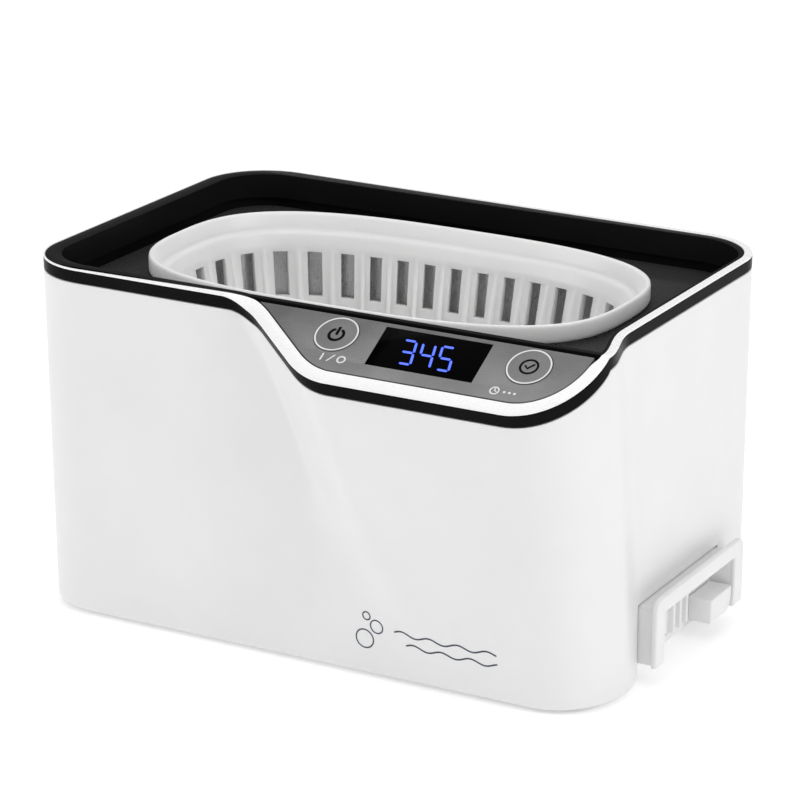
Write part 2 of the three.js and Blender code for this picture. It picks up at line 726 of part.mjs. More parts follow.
add("transducer_front_mass", drilledDisc(FRONT_FOOT, TANK_FLOOR_Z - GAP, 19, 22.5, FRONT_FOOT + 10), "aluminium");
add("piezo_ring_upper", drilledDisc(UPPER_RING_FOOT, UPPER_RING_FOOT + STACK.ring, 18, 18), "ceramic");
add("piezo_ring_lower", drilledDisc(LOWER_RING_FOOT, LOWER_RING_FOOT + STACK.ring, 18, 18), "ceramic");
add("transducer_back_mass", drilledDisc(BACK_FOOT, BACK_FOOT + STACK.back, 19, 19), "steel");
add("transducer_bolt", transducerBolt(), "screw");

add("driver_board", driverBoard(), "board");
addEach("board_screw", STANDOFFS, boardScrew);
add("transformer", transformer(), "electronics");
add("choke", choke(), "copper");
add("heat_sink", heatSink(), "aluminium");
add("film_capacitor", box([-86, 20, DRIVER_TOP], [-60, 30, DRIVER_TOP + 16]), "film");
add("bulk_capacitor", cylinder(-48, 35, DRIVER_TOP, DRIVER_TOP + 26, 8), "sleeve");

// The origin goes to the middle of the footprint, at the height of the feet.
const extent = new THREE.Box3().setFromObject(assembly);
const middle = extent.getCenter(new THREE.Vector3());
assembly.position.set(-middle.x, -middle.y, -extent.min.z);
const group = new THREE.Group();
group.add(assembly);

export default group;
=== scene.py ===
import math

import bmesh
import bpy
import numpy as np
from mathutils import Matrix, Vector


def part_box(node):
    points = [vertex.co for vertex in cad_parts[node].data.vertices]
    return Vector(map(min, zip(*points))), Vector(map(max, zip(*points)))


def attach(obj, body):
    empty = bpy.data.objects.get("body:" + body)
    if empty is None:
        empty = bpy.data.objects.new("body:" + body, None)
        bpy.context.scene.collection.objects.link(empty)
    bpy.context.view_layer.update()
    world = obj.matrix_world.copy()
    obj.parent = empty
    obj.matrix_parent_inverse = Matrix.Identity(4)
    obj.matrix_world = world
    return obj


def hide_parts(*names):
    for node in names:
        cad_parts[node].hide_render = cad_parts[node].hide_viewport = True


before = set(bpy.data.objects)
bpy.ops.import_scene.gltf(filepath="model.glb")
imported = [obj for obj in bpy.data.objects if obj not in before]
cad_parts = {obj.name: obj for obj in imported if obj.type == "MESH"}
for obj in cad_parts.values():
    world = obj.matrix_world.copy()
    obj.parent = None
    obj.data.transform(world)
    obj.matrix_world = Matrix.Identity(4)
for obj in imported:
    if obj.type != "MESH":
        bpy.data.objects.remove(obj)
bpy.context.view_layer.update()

# ------------------------------------------------------------------ driving dimensions, mm

MM = 0.001
GAP = 0.3
RIM_Z = 117.5
WALL = 2.5
LEFT_X = (99.7, 102)  # pairs are (at the foot, at the rim)
RIGHT_X = (102.6, 102)
DEPTH = (68.3, 70.6)
CORNER_R = (22, 23.7)
POD_DEPTH = (68.3, 93.3)
POD_FLANK_START = (36, -16.2)
POD_FLANK_END = (37.5, 17.2)
POD_CREASE = (24, 2.6, 8)  # half width of the crease's bend: at the foot, at mid height and at the rim
POD_EDGE = (24, 5, 8)  # the same for the bend into the pod's face
POD_CORNER_X = 84
POD_CORNER_Y = (-41.7, -68)
POD_RIGHT_X = (105.5, 107.5)
POD_EASE_Y = (-28, -42)
RIM_DIP = (-26, -14)

BAND_H = 4.4
BAND_T = 2.4
TRIM_H = 0.6
BAND_TOP = 1.1
TRIM_THIN = 0.6
TRIM_W = 2.7
TRIM_PANEL_W = 4

PANEL_TILT = math.radians(29.3)
PANEL_TOP_Y = -68
PANEL_TOP_GAP = 1.5
PANEL_T = 2
WINDOW = {"x": 52.3, "y": -11.1, "width": 36, "height": 16}
BUTTONS = {"power_button": (19.9, -9.5), "time_button": (85.2, -9.4)}
BUTTON_R = 7.1
BUTTON_PROUD = 0.15
PRINT_T = 0.06  # thickness of printed marks

FRAME_WALL = {"front": 2.3, "right": 0.9, "back": 3}
FRAME_FOOT_Z = 103
LEDGE_W = 4
LEDGE_T = 1.7
UNDERCUT_Z = 109
DECK_Z = 106.5
DECK_T = 1.5
GROOVE_W = 1.4

OVAL_POWER = 2.9
OVAL_Y = -1.5
MOUTH = (79.6, 46.6)
TANK_T = 0.9
TANK_FLANGE = 6
TANK_FLOOR_Z = 52
BASKET_RIM = (83, 50)
BASKET_RIM_Z = 113
BASKET_FLOOR_Z = 58
SLOTS = {"count": 36, "width": 5, "low": 86, "high": 101}
STRAIGHT_X = 39
CLOSER = 1.17

HOOK = {"back": 98, "neck": 108.2, "face": 110, "half": 30.5, "top": 24.6, "wall": 2, "foot": 5.4}
FLANGE = {"low": -32.5, "high": 35.3, "top": 28, "open_low": -26, "open_high": 28.5, "open_top": 22.4}
INLET = {"low": 5.2, "top": 13.3, "near": 11, "far": 27.2, "corner": 5, "hole_y": 18.5, "hole_top": 11}
INLET_R = 2.8
BASE_Z = 2
FOOT_R = 7
FOOT_DROP = 1.5

# The casing frame's origin in the row frame, from the trim's left, rear and top faces.
TRIM_LOW, TRIM_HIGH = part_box("rim_trim")
ORIGIN = Vector((TRIM_LOW.x + LEFT_X[1] * MM, TRIM_HIGH.y - DEPTH[1] * MM, TRIM_HIGH.z - RIM_Z * MM))

# ------------------------------------------------------------------ camera and light


def add_camera():
    """The photo's viewpoint: a long lens, above and to the right of the front."""
    yaw, pitch, roll = math.radians(28.34), math.radians(18.41), math.radians(0.51)
    across, up, distance = -1.276, -63.11, 1179.16
    back = Vector((math.sin(yaw) * math.cos(pitch), -math.cos(yaw) * math.cos(pitch), math.sin(pitch)))
    right = Vector((math.cos(yaw), math.sin(yaw), 0))
    upright = back.cross(right)
    x_axis = math.cos(roll) * right + math.sin(roll) * upright
    y_axis = math.cos(roll) * upright - math.sin(roll) * right
    place = (distance * back - across * x_axis - up * y_axis) * MM + ORIGIN
    camera = bpy.data.objects.new("camera", bpy.data.cameras.new("camera"))
    bpy.context.scene.collection.objects.link(camera)
    camera.data.lens = 158.58
    camera.data.clip_start, camera.data.clip_end = 0.05, 50
    camera.matrix_world = Matrix.Translation(place) @ Matrix((x_axis, y_axis, back)).transposed().to_4x4()
    bpy.context.scene.camera = camera


def add_softbox(name, place, target, size, power):
    light = bpy.data.lights.new(name, "AREA")
    light.shape = "RECTANGLE"
    light.size, light.size_y = size
    light.energy = power
    lamp = bpy.data.objects.new(name, light)
    bpy.context.scene.collection.objects.link(lamp)
    lamp.location = place
    lamp.rotation_euler = (Vector(target) - Vector(place)).to_track_quat("-Z", "Y").to_euler()


add_camera()
bpy.context.scene.view_settings.view_transform = "Standard"

# ------------------------------------------------------------------ materials


def add_node(tree, kind, **values):
    """A new node with the named inputs set."""
    node = tree.nodes.new(kind)
    for name, value in values.items():
        node.inputs[name].default_value = value
    return node


def ranged(tree, source, to_low, to_high, from_low=0.3, from_high=0.7):
    """The source's value, spread between two limits."""
    node = tree.nodes.new("ShaderNodeMapRange")
    limits = {"From Min": from_low, "From Max": from_high, "To Min": to_low, "To Max": to_high}
    for socket, value in limits.items():
        node.inputs[socket].default_value = value
    tree.links.new(source, node.inputs["Value"])
    return node.outputs["Result"]


def noise(tree, scale, stretch=(1, 1, 1), detail=3.0):
    """Noise with about `scale` lumps to a millimetre, stretched along the axes."""
    place = tree.nodes.new("ShaderNodeTexCoord")
    mapping = tree.nodes.new("ShaderNodeMapping")
    mapping.inputs["Scale"].default_value = [scale / MM / s for s in stretch]
    tree.links.new(place.outputs["Object"], mapping.inputs["Vector"])
    node = add_node(tree, "ShaderNodeTexNoise", Scale=1.0, Detail=detail)
    tree.links.new(mapping.outputs["Vector"], node.inputs["Vector"])
    return node.outputs["Fac"]


# The random drift's share of the colour where a painted reflection ramp is blended in.
DRIFT_SHARE = 0.33
SCATTER = 5  # how far light spreads inside translucent plastic, mm


def add_painted_reflection(tree, drift, low, high):
    """A drift value, one part in three, blended with a painted reflection: a ramp over the object's height
    from low to high.
    """
    place = tree.nodes.new("ShaderNodeTexCoord")
    split = tree.nodes.new("ShaderNodeSeparateXYZ")
    tree.links.new(place.outputs["Object"], split.inputs["Vector"])
    total = tree.nodes.new("ShaderNodeMath")
    total.operation = "MULTIPLY_ADD"
    total.inputs[1].default_value = DRIFT_SHARE
    tree.links.new(drift, total.inputs[0])
    tree.links.new(ranged(tree, split.outputs["Z"], 0, 1 - DRIFT_SHARE, low, high), total.inputs[2])
    return total.outputs["Value"]


def finish(
    name, dark, light, rough, metallic=0.0, specular=0.5, cloud=0.03, cloud_stretch=(1, 1, 1),
    grain=1.2, grain_stretch=(1, 1, 1), bump=0.02, glow=None, translucence=None, painted_reflection=None,
):
    """A procedural finish: its colour drifts between two tones, and grain varies its gloss and height.

    `rough` holds the least and the greatest roughness. `cloud` and `grain` are lumps to a millimetre. The
    last argument holds the two heights, in metres, between which the colour goes from dark to light: a
    painted reflection.
    """
    material = bpy.data.materials.new(name)
    material.use_nodes = True
    tree = material.node_tree
    shader = tree.nodes["Principled BSDF"]
    shader.inputs["Metallic"].default_value = metallic
    shader.inputs["Specular IOR Level"].default_value = specular
    if translucence:
        shader.inputs["Subsurface Weight"].default_value = translucence
        shader.inputs["Subsurface Scale"].default_value = SCATTER * MM
        shader.inputs["Subsurface Radius"].default_value = (1, 1, 1)
    drift = ranged(tree, noise(tree, cloud, cloud_stretch), 0, 1)
    # Painted reflection: the colour is ramped with height, on top of the random drift.
    if painted_reflection:
        drift = add_painted_reflection(tree, drift, *painted_reflection)
    mix = tree.nodes.new("ShaderNodeMix")
    mix.data_type = "RGBA"
    mix.inputs["A"].default_value = (*dark, 1)
    mix.inputs["B"].default_value = (*light, 1)
    tree.links.new(drift, mix.inputs["Factor"])
    colour = mix.outputs["Result"]
    tree.links.new(colour, shader.inputs["Base Color"])
    if glow:
        tree.links.new(colour, shader.inputs["Emission Color"])
        shader.inputs["Emission Strength"].default_value = glow
    texture = noise(tree, grain, grain_stretch)
    tree.links.new(ranged(tree, texture, *rough), shader.inputs["Roughness"])
    relief = add_node(tree, "ShaderNodeBump", Strength=bump, Distance=MM)
    tree.links.new(texture, relief.inputs["Height"])
    tree.links.new(relief.outputs["Normal"], shader.inputs["Normal"])
    return material


def grey(value):
    return (value, value, value)


FINISHES = {
    "white_casing": finish(
        "casing plastic", (0.79, 0.79, 0.79), (0.82, 0.82, 0.825), (0.32, 0.4), bump=0.012,
    ),
    "black_gloss": finish(
        "black gloss plastic", grey(0.007), grey(0.0095), (0.2, 0.28), specular=0.012, bump=0.006,
    ),
    "white_trim": finish(
        "white trim plastic", grey(0.94), grey(0.96), (0.25, 0.32), bump=0.006,
    ),
    "deck_black": finish(
        "deck plastic", grey(0.03), grey(0.034), (0.25, 0.35), specular=0.03, bump=0.006,
    ),
    "stainless": finish(
        "drawn steel", grey(0.42), grey(0.55), (0.22, 0.4), metallic=1, cloud=0.08, cloud_stretch=(1, 1, 4),
        grain=2.5, grain_stretch=(1, 1, 18), bump=0.05,
    ),
    "silicone": finish("silicone", grey(0.42), grey(0.48), (0.6, 0.75), bump=0.05),
    "basket_white": finish(
        "basket plastic", (0.82, 0.82, 0.817), (0.85, 0.85, 0.846), (0.3, 0.4), bump=0.015, translucence=0.7
    ),
    # The panel gets lighter towards its lower edge: a painted reflection of the lamps, with a third of
    # random drift.
    "panel_grey": finish(
        "panel paint with painted reflection", grey(0.1), grey(0.3), (0.36, 0.5), metallic=0.55, cloud=0.05,
        grain=1.7, bump=0.14, painted_reflection=((ORIGIN.z / MM + 118) * MM, (ORIGIN.z / MM + 103) * MM),
    ),
    "display_dark": finish(
        "display glass", grey(0.0006), grey(0.0011), (0.05, 0.09), specular=0.01, bump=0.002,
    ),
    "black_component": finish(
        "moulded black part", grey(0.015), grey(0.028), (0.4, 0.6), cloud=0.2, bump=0.06,
    ),
    "circuit_board": finish(
        "circuit board", (0.01, 0.09, 0.03), (0.02, 0.15, 0.05), (0.3, 0.5), cloud=0.25, grain=2, bump=0.08
    ),
    "rubber_black": finish("rubber", grey(0.012), grey(0.02), (0.75, 0.9), cloud=0.3, bump=0.1),
    "screw_steel": finish(
        "zinc plated steel", grey(0.5), grey(0.62), (0.25, 0.4), metallic=1, cloud=0.5, bump=0.04,
    ),
    "cast_aluminium": finish(
        "turned aluminium", grey(0.55), grey(0.68), (0.3, 0.5), metallic=1, cloud=0.2, grain=3, bump=0.08
    ),
    "ceramic": finish(
        "piezo ceramic", (0.5, 0.44, 0.34), (0.6, 0.55, 0.44), (0.6, 0.8), cloud=0.4, bump=0.05,
    ),
    "copper_wire": finish(
        "enamelled wire", (0.5, 0.18, 0.06), (0.66, 0.28, 0.1), (0.25, 0.4), metallic=1, cloud=0.9, bump=0.2
    ),
    "film_red": finish(
        "film capacitor case", (0.3, 0.03, 0.02), (0.4, 0.05, 0.03), (0.35, 0.5), cloud=0.2, bump=0.04,
    ),
    "sleeve_blue": finish(
        "heat shrink sleeve", (0.015, 0.03, 0.08), (0.03, 0.05, 0.12), (0.3, 0.45), cloud=0.2,
    ),
}
PRINT_BLACK = finish("black print", grey(0.003), grey(0.005), (0.5, 0.6), specular=0.02, bump=0.004)
PRINT_WHITE = finish("white print", grey(0.72), grey(0.8), (0.45, 0.55), bump=0.004)
PRINT_SLATE = finish("slate print", (0.028, 0.032, 0.055), (0.036, 0.041, 0.068), (0.45, 0.55), bump=0.004)
SEGMENT_BLUE = finish(
    "lit segments", (0.05, 0.11, 0.9), (0.07, 0.14, 1.0), (0.3, 0.4), glow=0.85, bump=0.002,
)

# ------------------------------------------------------------------ mesh helpers


def mesh_of(points, faces):
    mesh = bpy.data.meshes.new("draft")
    mesh.from_pydata(np.asarray(points, float).tolist(), [], [tuple(map(int, face)) for face in faces])
    return mesh


def side_faces(rows, count, closed):
    """Faces between successive loops of points, which all run anticlockwise seen from above."""
    here = np.arange(count)
    after = (here + 1) % count
    faces = []
    for row in range(rows if closed else rows - 1):
        base, top = row * count, (row + 1) % rows * count
        faces.append(np.stack([base + here, base + after, top + after, top + here], 1))
    return np.concatenate(faces)


def ring_mesh(loops):
    """A ring: the loops go up the outside, across and down the inside."""
    loops = np.asarray(loops)
    return mesh_of(loops.reshape(-1, 3), side_faces(len(loops), len(loops[0]), True))


def capped_mesh(loops):
    """A stack of loops with a flat lid on the first and the last."""
    loops = np.asarray(loops)
    count = len(loops[0])
    faces = side_faces(len(loops), count, False).tolist()
    faces.append(list(range(count))[::-1])
    faces.append([(len(loops) - 1) * count + i for i in range(count)])
    return mesh_of(loops.reshape(-1, 3), faces)


def evaluated(thing):
    """The mesh that an object has after its modifiers; the object is removed."""
    bpy.context.view_layer.update()
    graph = bpy.context.evaluated_depsgraph_get()
    mesh = bpy.data.meshes.new_from_object(thing.evaluated_get(graph), depsgraph=graph)
    bpy.data.objects.remove(thing)
    return mesh


def linked(data):
    thing = bpy.data.objects.new("draft", data)
    bpy.context.scene.collection.objects.link(thing)
    return thing


def boolean(mesh, others, operation):
    """Joins (UNION) the others to the mesh, or cuts (DIFFERENCE) them out of it."""
    for other in others:
        target, tool = linked(mesh), linked(other)
        modifier = target.modifiers.new("cut", "BOOLEAN")
        modifier.solver = "EXACT"
        modifier.operation = operation
        modifier.object = tool
        mesh = evaluated(target)
        bpy.data.objects.remove(tool)
    return mesh


def area_of(loop):
    loop = np.asarray(loop, float)
    x, y = loop[:, 0], loop[:, 1]
    return 0.5 * float(np.sum(x * np.roll(y, -1) - np.roll(x, -1) * y))


def plate(outer, holes, bottom, top, edge=0.25):
    """A flat plate of an outline with holes, its edges rounded over."""
    curve = bpy.data.curves.new("draft", "CURVE")
    curve.dimensions = "2D"
    curve.fill_mode = "BOTH"
    for loop, sense in [(outer, 1), *((hole, -1) for hole in holes)]:
        loop = np.asarray(loop, float)
        if area_of(loop) * sense < 0:
            loop = loop[::-1]
        spline = curve.splines.new("POLY")
        spline.points.add(len(loop) - 1)
        for point, place in zip(spline.points, loop):
            point.co = (place[0], place[1], 0, 1)
        spline.use_cyclic_u = True
    curve.extrude = (top - bottom) / 2 - edge
    curve.bevel_depth = edge
    curve.bevel_resolution = 2
    curve.offset = -edge
    mesh = evaluated(linked(curve))
    bpy.data.curves.remove(curve)
    work = bmesh.new()
    work.from_mesh(mesh)
    bmesh.ops.remove_doubles(work, verts=work.verts, dist=1e-4)
    bmesh.ops.dissolve_degenerate(work, edges=work.edges, dist=1e-4)
    bmesh.ops.recalc_face_normals(work, faces=work.faces)
    work.to_mesh(mesh)
    work.free()
    mesh.transform(Matrix.Translation((0, 0, (bottom + top) / 2)))
    return mesh


def turned(profile, steps=64):
    """A solid of revolution about Z; its profile of (radius, height) runs up the outside."""
    angles = np.arange(steps) * 2 * math.pi / steps
    loops = [np.stack([r * np.cos(angles), r * np.sin(angles), np.full(steps, z)], 1) for r, z in profile]
    return capped_mesh(loops)


def eased(points, cut, steps=4):
    """The polyline with each inner corner replaced by a short curve."""
    points = [Vector(point) for point in points]
    out = [points[0]]
    for before, here, after in zip(points, points[1:], points[2:]):
        start = here + (before - here) * min(0.45, cut / (before - here).length)
        end = here + (after - here) * min(0.45, cut / (after - here).length)
        for i in range(steps + 1):
            part = i / steps
            out.append((1 - part) ** 2 * start + 2 * part * (1 - part) * here + part**2 * end)
    return [*out, points[-1]]


PANEL_FRAME = Matrix.Translation((0, PANEL_TOP_Y, RIM_Z)) @ Matrix.Rotation(PANEL_TILT, 4, "X")
# Turns a drawing so that its x, y and thickness run along Y, Z and X.
SIDE_FRAME = Matrix(((0, 0, 1, 0), (1, 0, 0, 0), (0, 1, 0, 0), (0, 0, 0, 1)))


def piece(
    name, mesh, slot, stands_for=(), body="casing", place=Matrix.Identity(4), finish_as=None, sharp=32,
):
    """Moves a finished mesh into the row frame, gives it its finish and hangs it on its body."""
    mesh.transform(Matrix.Translation(ORIGIN) @ Matrix.Scale(MM, 4) @ place)
    mesh.shade_smooth()
    mesh.set_sharp_from_angle(angle=math.radians(sharp))
    mesh.materials.clear()
    mesh.materials.append(finish_as or FINISHES[slot])
    mesh.name = name
    thing = bpy.data.objects.new(name, mesh)
    bpy.context.scene.collection.objects.link(thing)
    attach(thing, body)
    if stands_for:
        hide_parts(*stands_for)
    return thing


# ------------------------------------------------------------------ casing surface


def between(pair, t):
    return pair[0] + (pair[1] - pair[0]) * t


def smooth(value, low, high):
    part = np.clip((value - low) / (high - low), 0, 1)
    return part * part * (3 - 2 * part)


def soft_ramp(x, start, end, first, last):
    """A straight ramp from 0 to 1 whose bends are rounded over the half widths `first` and `last`."""

    def turned_over(value, bend):
        return (np.maximum(value + bend, 0) ** 2 - np.maximum(value - bend, 0) ** 2) / (4 * bend)

    return (turned_over(x - start, first) - turned_over(x - end, last)) / (end - start)


def bend_at(bends, t):
    """The bend's half width at a fraction of the casing's height."""
    foot, middle, rim = bends
    return between((between((foot, middle), smooth(t, 0, 0.65)), rim), smooth(t, 0.82, 1))


# Stations run anticlockwise from the front left corner, in stretches of so many steps.
STRETCHES = [
    ("front_left", 20), ("flank", 96), ("pod_front", 12), ("pod_corner", 30), ("ease", 20),
    ("back_right", 20), ("back_left", 20),
]
SHARED_START = {"pod_front", "pod_corner", "ease"}  # these start where the stretch before ends


def make_stations():
    kinds, parts = [], []
    for index, (name, steps) in enumerate(STRETCHES):
        first = 1 if name in SHARED_START else 0
        for i in range(first, steps + 1):
            kinds.append(index)
            parts.append(i / steps)
    return np.array(kinds), np.array(parts)


KIND, PART = make_stations()
COUNT = len(KIND)


def outline(t, shift=0):
    """Plan points of the casing at a fraction t of its height, one t for each station."""
    kind, part = np.roll(KIND, -shift), np.roll(PART, -shift)
    t = np.broadcast_to(t, COUNT)
    left, right = between(LEFT_X, t), between(RIGHT_X, t)
    depth, pod_depth = between(DEPTH, t), between(POD_DEPTH, t)
    radius = between(CORNER_R, t)
    start, end = between(POD_FLANK_START, t), between(POD_FLANK_END, t)
    first, last = bend_at(POD_CREASE, t), bend_at(POD_EDGE, t)
    corner_y, pod_right, ease_y = between(POD_CORNER_Y, t), between(POD_RIGHT_X, t), between(POD_EASE_Y, t)

    def arc(centre_x, centre_y, radius_x, radius_y, first):
        angle = np.radians(first + 90 * part)
        return centre_x + radius_x * np.cos(angle), centre_y + radius_y * np.sin(angle)

    flank_x = start - first + (end - start + first + last) * part
    flank_y = -depth - (pod_depth - depth) * soft_ramp(flank_x, start, end, first, last)
    shapes = [
        arc(radius - left, radius - depth, radius, radius, 180),
        (flank_x, flank_y),
        (end + last + (POD_CORNER_X - end - last) * part, -pod_depth),
        arc(POD_CORNER_X, corner_y, pod_right - POD_CORNER_X, pod_depth + corner_y, 270),
        (pod_right + (right - pod_right) * smooth(part, 0, 1), corner_y + (ease_y - corner_y) * part),
        arc(right - radius, depth - radius, radius, radius, 0),
        arc(radius - left, depth - radius, radius, radius, 90),
    ]
    points = np.empty((COUNT, 2))
    for index, (x, y) in enumerate(shapes):
        chosen = kind == index
        points[chosen, 0] = x[chosen]
        points[chosen, 1] = y[chosen]
    return points


def rim_height(x, y):
    """The rim's top face: level, and down the panel's plane over the pod."""
    return RIM_Z + math.tan(PANEL_TILT) * np.minimum(0, y - PANEL_TOP_Y) * smooth(x, *RIM_DIP)


RIM = outline(1)
RIM = np.column_stack([RIM, rim_height(RIM[:, 0], RIM[:, 1])])


def band_drop():
    """The band keeps its width across the slope, so it is taller where the rim runs downhill."""
    chord = np.roll(RIM, -1, 0) - np.roll(RIM, 1, 0)
    return BAND_H * np.linalg.norm(chord, axis=1) / np.linalg.norm(chord[:, :2], axis=1)


BAND_LOW = RIM[:, 2] - band_drop()


def casing_loop(height, inset=0.0):
    """Points of the casing's surface at a height for each station, moved inwards in plan."""
    t = height / RIM[:, 2]
    here = outline(t)
    chord = outline(t, 1) - outline(t, -1)
    along = chord / np.linalg.norm(chord, axis=1)[:, None]
    inset = np.broadcast_to(inset, COUNT)
    return np.column_stack([here[:, 0] - along[:, 1] * inset, here[:, 1] + along[:, 0] * inset, height])


def rim_loop(drop, inset):
    """A loop on the rim's top face, or `drop` below it."""
    points = casing_loop(RIM[:, 2], inset)
    points[:, 2] = rim_height(points[:, 0], points[:, 1]) - drop
    return points


def trim_width():
    """The trim is widest round the panel, and thins out to the left along the front and the back."""
    x, y, z = RIM.T
    full = np.where(y < 0, smooth(x, -92, -25), smooth(x, 40, 84))
    return between((between((TRIM_THIN, TRIM_W), full), TRIM_PANEL_W), smooth(RIM_Z - z, 0, 3))


TRIM = trim_width()


# ------------------------------------------------------------------ casing pieces


def quarter(radius, steps=4):
    """(inset, rise) pairs round a quarter circle, from the flat face to the wall."""
    angles = [math.pi / 2 * i / steps for i in range(steps + 1)]
    return [(radius * (1 - math.sin(a)), radius * (1 - math.cos(a))) for a in angles]


def casing_shell():
    foot_r, top_r, levels = 1.5, 0.35, 40
    top = BAND_LOW - GAP
    loops = [casing_loop(np.full(COUNT, rise), inset) for inset, rise in quarter(foot_r)]
    for i in range(1, levels):
        loops.append(casing_loop(foot_r + (top - top_r - foot_r) * i / levels))
    loops += [casing_loop(top - rise, inset) for inset, rise in reversed(quarter(top_r))]
    for level in (1, 0.85, 0.7, 0.5, 0.3, 0.15, 0):
        loops.append(casing_loop(top * level, WALL))
    notch = plate(
        [(-HOOK["half"] - GAP, -9), (HOOK["half"] + GAP, -9), (HOOK["half"] + GAP, HOOK["top"] + GAP),
         (-HOOK["half"] - GAP, HOOK["top"] + GAP)], [], HOOK["back"] - 4, HOOK["face"] + 5, 0.05,
    )
    notch.transform(SIDE_FRAME)
    return boolean(ring_mesh(loops), [notch], "DIFFERENCE")


def accent_band():
    """The band meets the trim's outer edge and drops away under the frame's lip."""
    drop, soft = TRIM_H + 0.08, 0.12
    return ring_mesh([
        casing_loop(BAND_LOW, soft),
        casing_loop(BAND_LOW + soft),
        rim_loop(drop + soft, 0),
        rim_loop(drop, soft),
        rim_loop(drop, TRIM_THIN - soft),
        rim_loop(BAND_TOP, TRIM_THIN + soft),
        rim_loop(BAND_TOP, BAND_T),
        casing_loop(BAND_LOW, BAND_T),
    ])


def rim_trim():
    soft = 0.18
    return ring_mesh([
        rim_loop(TRIM_H, soft),
        rim_loop(TRIM_H - soft / 2, 0),
        rim_loop(soft, 0),
        rim_loop(0, soft),
        rim_loop(0, TRIM - soft),
        rim_loop(soft, TRIM),
        rim_loop(TRIM_H, TRIM),
    ])


def clip(points, level, side):
    """The part of a closed loop of plan points beyond y = level: on its +Y side (1) or its -Y side (-1)."""
    kept = []
    for here, after in zip(points, np.roll(points, -1, 0)):
        inside, next_inside = side * (here[1] - level) > 0, side * (after[1] - level) > 0
        if inside:
            kept.append((here[0], here[1]))
        if inside != next_inside:
            part = (level - here[1]) / (after[1] - here[1])
            kept.append((here[0] + part * (after[0] - here[0]), level))
    return np.array(kept)


def tray_outline(inset, share=1.0):
    """The tray, inwards from the inner face of the frame's wall: thin on the right, thick elsewhere."""
    thick = np.where(RIM[:, 0] > 0, smooth(RIM[:, 1], 46, DEPTH[1]), 1)
    wall = between((FRAME_WALL["right"], FRAME_WALL["back"]), thick)
    loop = rim_loop(0, TRIM_W + GAP + wall * share + inset)
    return clip(loop, PANEL_TOP_Y + GAP + FRAME_WALL["front"] * share + inset, 1)


def top_frame():
    seam = 0.12
    outer = clip(rim_loop(0, np.maximum(TRIM, TRIM_W) + GAP), PANEL_TOP_Y + GAP, 1)
    reach = clip(rim_loop(0, TRIM + seam), PANEL_TOP_Y + GAP, 1)
    wall = plate(outer, [tray_outline(0.01)], FRAME_FOOT_Z, RIM_Z - 0.5, 0.1)
    lip = plate(reach, [tray_outline(0)], RIM_Z - BAND_TOP + seam, RIM_Z - 0.1, 0.2)
    wall = boolean(wall, [lip], "UNION")
    ledge_top = FRAME_FOOT_Z + LEDGE_T
    ledge = plate(tray_outline(-0.7), [tray_outline(LEDGE_W)], FRAME_FOOT_Z + 0.01, ledge_top, 0.1)
    undercut = plate(tray_outline(0, 0.45), [], ledge_top + 0.2, UNDERCUT_Z, 0.05)
    return boolean(boolean(wall, [undercut], "DIFFERENCE"), [ledge], "UNION")


def oval(half_x, half_y, angles):
    def reach(value):
        return np.sign(value) * np.abs(value) ** (2 / OVAL_POWER)

    return half_x * reach(np.cos(angles)), OVAL_Y + half_y * reach(np.sin(angles))


def oval_loop(half_x, half_y, z, angles):
    x, y = oval(half_x, half_y, angles)
    return np.column_stack([x, y, np.full(len(angles), z)])


def even_angles(half_x, half_y, steps, closer=1.0):
    """Oval angles at equal steps along the oval, `closer` together on the long sides than at the ends."""
    fine = np.linspace(0, 2 * math.pi, 40001)
    x, y = oval(half_x, half_y, fine)
    weight = between((closer, 1), smooth(np.abs(x[1:]), STRAIGHT_X - 4, STRAIGHT_X + 4))
    run = np.concatenate([[0], np.cumsum(np.hypot(np.diff(x), np.diff(y)) * weight)])
    return np.interp(np.asarray(steps) * run[-1], run, fine)


EVEN = even_angles(*MOUTH, np.arange(240) / 240)


def deck_plate():
    return plate(tray_outline(GROOVE_W), [oval_loop(*MOUTH, 0, EVEN)[:, :2]], DECK_Z - DECK_T, DECK_Z, 0.3)


def tank():
    seal_t = 1.6
    flange_top = DECK_Z - DECK_T - seal_t
    flange_foot = flange_top - TANK_T
    bottom = TANK_FLOOR_Z
    profile = eased([
        (14, bottom), (7.5, bottom + 1.5), (4, bottom + 8), (-TANK_T, flange_foot),
        (-TANK_FLANGE, flange_foot), (-TANK_FLANGE, flange_top), (0, flange_top),
        (4 + TANK_T, bottom + 8.4), (8.4, bottom + 2.6), (14 + TANK_T, bottom + TANK_T),
    ], 1.2)
    return capped_mesh([oval_loop(MOUTH[0] - inset, MOUTH[1] - inset, z, EVEN) for inset, z in profile])


# ------------------------------------------------------------------ basket

PITCH = 11.6  # between slots at the basket's ends
SLOT_HALF = SLOTS["width"] / 2 / PITCH
RIB_HALF = 0.055
# Steps across one pitch, in shares of it: half a rib, the bar, the slot, the bar, half a rib.
PITCH_STEPS = [
    0, RIB_HALF, RIB_HALF + 0.03, 0.5 - SLOT_HALF, 0.5, 0.5 + SLOT_HALF, 0.97 - RIB_HALF, 1 - RIB_HALF,
]
SLOT_STEPS = (3, 4, 5)  # the slot's left edge, middle and right edge among those steps
RIB_LEVEL = np.tile([1, 1, 0, 0, 0, 0, 0, 1.0], SLOTS["count"])
RIB_PROUD = 1.5
RIB_FOOT = SLOTS["low"] - 3.5


def on_wall(heights, low_point, high_point):
    """(inset, z) pairs at some heights on a straight wall through two such pairs."""
    insets = (low_point[0], high_point[0])
    rise = high_point[1] - low_point[1]
    return [(between(insets, (z - low_point[1]) / rise), z) for z in heights]


